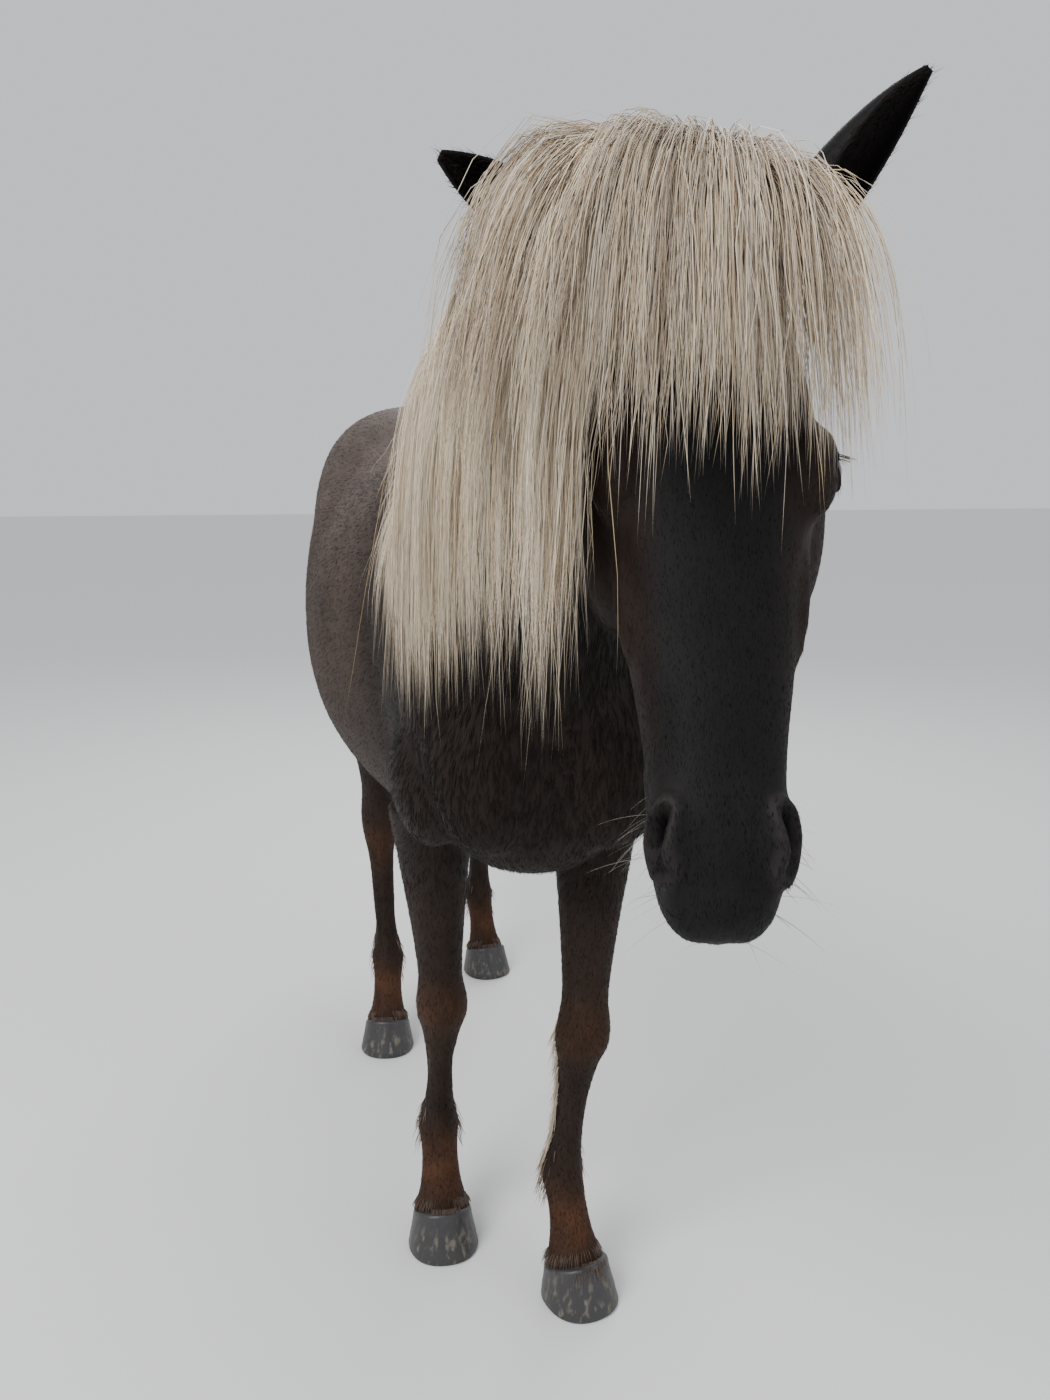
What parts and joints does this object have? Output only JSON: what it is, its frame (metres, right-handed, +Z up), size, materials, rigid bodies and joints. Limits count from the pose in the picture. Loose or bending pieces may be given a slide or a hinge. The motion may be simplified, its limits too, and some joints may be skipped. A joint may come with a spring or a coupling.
{
  "type": "icelandic horse, standing, still life-size model",
  "caption": "Standing Icelandic horse with a dark coat, pale mane, forelock and tail, as a still life-size model.",
  "frame": {"origin": "on the floor, at the middle of the whole model's outer box", "axes": "+Z up, the horse faces -Y and its left side is +X; +Y runs along the body towards the tail"},
  "size_m": [0.588, 2.2554, 1.6245],
  "materials": {
    "coat": "short dark brown to black hair",
    "hair": "long pale blond hair",
    "horn": "grey horn with dried mud",
    "eye": "wet and dark"
  },
  "bodies": {
    "root": {"head": "coat", "neck": "coat", "forequarters": "coat", "barrel": "coat", "hindquarters": "coat", "tail": "hair", "ear_left": "coat", "ear_right": "coat", "eye_left": "eye", "eye_right": "eye", "foreleg_left": "coat", "foreleg_right": "coat", "hindleg_left": "coat", "hindleg_right": "coat", "forehoof_left": "horn", "forehoof_right": "horn", "hindhoof_left": "horn", "hindhoof_right": "horn"}
  },
  "joints": []
}
